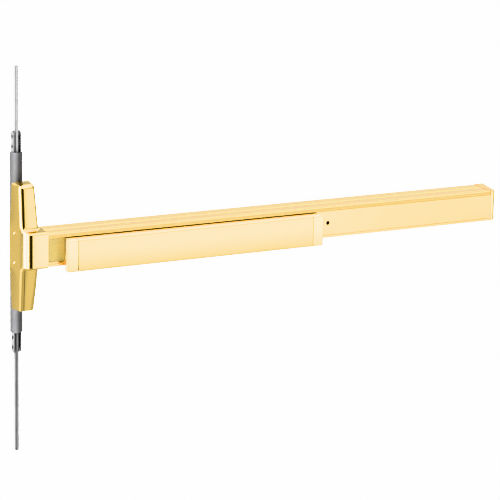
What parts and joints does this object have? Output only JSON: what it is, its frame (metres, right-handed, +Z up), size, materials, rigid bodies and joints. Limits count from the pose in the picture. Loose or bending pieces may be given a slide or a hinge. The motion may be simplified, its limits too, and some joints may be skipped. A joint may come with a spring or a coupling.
{
  "type": "vertical rod exit device",
  "caption": "Push-pad exit device in bright brass with a tapered centre case, a long mechanism case and concealed vertical rods behind it.",
  "frame": {"origin": "on the door's face plane, at the rods' centre line and the bar's middle height", "axes": "+X along the bar from the rods to the hinge end, -Y out into the room, +Y into the door's stile, +Z up along the rods"},
  "size_m": [0.9114, 0.099, 0.6317],
  "materials": {
    "polished_brass": "polished",
    "brushed_brass": "brushed along the bar",
    "bright_brass": "bright satin",
    "zinc_steel": "zinc plated",
    "dark_steel": "oiled black"
  },
  "bodies": {
    "chassis": {"centre_cover": "polished_brass", "side_screw_top": "bright_brass", "side_screw_bottom": "bright_brass", "centre_base_plate": "zinc_steel", "plate_screw_top": "zinc_steel", "plate_screw_bottom": "zinc_steel", "tube_saddle_top": "zinc_steel", "tube_saddle_bottom": "zinc_steel", "mechanism_case": "brushed_brass", "front_filler": "brushed_brass", "cover_plate": "brushed_brass", "end_cap": "polished_brass", "end_bracket": "zinc_steel", "bracket_screw": "zinc_steel", "end_cap_screw": "bright_brass", "lever_bracket_left": "zinc_steel", "lever_bracket_right": "zinc_steel", "lever_pin_left": "dark_steel", "lever_pin_right": "dark_steel", "return_spring": "dark_steel", "spring_seat": "zinc_steel", "lift_pin_top": "dark_steel", "lift_pin_bottom": "dark_steel", "rod_tube": "zinc_steel", "dogging_block": "zinc_steel"},
    "pad": {"push_pad": "polished_brass", "pad_cap_left": "bright_brass", "pad_cap_right": "bright_brass", "pad_bracket_left": "zinc_steel", "pad_bracket_right": "zinc_steel"},
    "lever_left": {"pad_lever_left": "zinc_steel"},
    "lever_right": {"pad_lever_right": "zinc_steel"},
    "bar": {"tie_bar": "zinc_steel"},
    "lift_top": {"lift_arm_top": "zinc_steel", "lift_stud_top": "dark_steel"},
    "lift_bottom": {"lift_arm_bottom": "zinc_steel", "lift_stud_bottom": "dark_steel"},
    "rod_group_top": {"rod_top": "zinc_steel", "rod_clevis_top": "zinc_steel", "clevis_rivet_top_1": "zinc_steel", "clevis_rivet_top_2": "zinc_steel", "rod_carrier_top": "dark_steel"},
    "rod_group_bottom": {"rod_bottom": "zinc_steel", "rod_clevis_bottom": "zinc_steel", "clevis_rivet_bottom_1": "zinc_steel", "clevis_rivet_bottom_2": "zinc_steel", "rod_carrier_bottom": "dark_steel"},
    "dogging": {"dogging_screw": "dark_steel", "dogging_hook": "zinc_steel"}
  },
  "joints": [
    {"name": "pad_press", "type": "slide", "parent": "chassis", "child": "pad", "axis": [0, 1, 0], "range_m": [0, 0.0125], "stiffness_N_per_m": 1800, "springref_m": -0.006},
    {"name": "lever_left_turn", "type": "hinge", "parent": "chassis", "child": "lever_left", "pos_m": [0.15, -0.0287, 0], "axis": [0, 0, -1], "range_deg": [0, 20.58]},
    {"name": "lever_right_turn", "type": "hinge", "parent": "chassis", "child": "lever_right", "pos_m": [0.455, -0.0287, 0], "axis": [0, 0, -1], "range_deg": [0, 20.58]},
    {"name": "bar_slide", "type": "slide", "parent": "chassis", "child": "bar", "axis": [1, 0, 0], "range_m": [0, 0.00625], "deforming": ["return_spring"]},
    {"name": "lift_arm_top_turn", "type": "hinge", "parent": "chassis", "child": "lift_top", "pos_m": [0.0125, -0.007, 0.0135], "axis": [0, -1, 0], "range_deg": [0, 48.1]},
    {"name": "lift_arm_bottom_turn", "type": "hinge", "parent": "chassis", "child": "lift_bottom", "pos_m": [0.0125, -0.007, -0.0135], "axis": [0, 1, 0], "range_deg": [0, 48.1]},
    {"name": "rod_top_retract", "type": "slide", "parent": "chassis", "child": "rod_group_top", "axis": [0, 0, -1], "range_m": [0, 0.011]},
    {"name": "rod_bottom_retract", "type": "slide", "parent": "chassis", "child": "rod_group_bottom", "axis": [0, 0, 1], "range_m": [0, 0.011]},
    {"name": "dogging_turn", "type": "hinge", "parent": "chassis", "child": "dogging", "pos_m": [0.5375, -0.05, -0.002], "axis": [0, 1, 0], "range_deg": [0, 80]}
  ],
  "couplings": [
    {"joint": "lever_left_turn", "follows": "pad_press", "rad_per_m": 28.73},
    {"joint": "lever_right_turn", "follows": "pad_press", "rad_per_m": 28.73},
    {"joint": "bar_slide", "follows": "pad_press", "ratio": 0.4996},
    {"joint": "lift_arm_top_turn", "follows": "pad_press", "rad_per_m": 67.13},
    {"joint": "lift_arm_bottom_turn", "follows": "pad_press", "rad_per_m": 67.13},
    {"joint": "rod_top_retract", "follows": "pad_press", "ratio": 0.88},
    {"joint": "rod_bottom_retract", "follows": "pad_press", "ratio": 0.88}
  ]
}
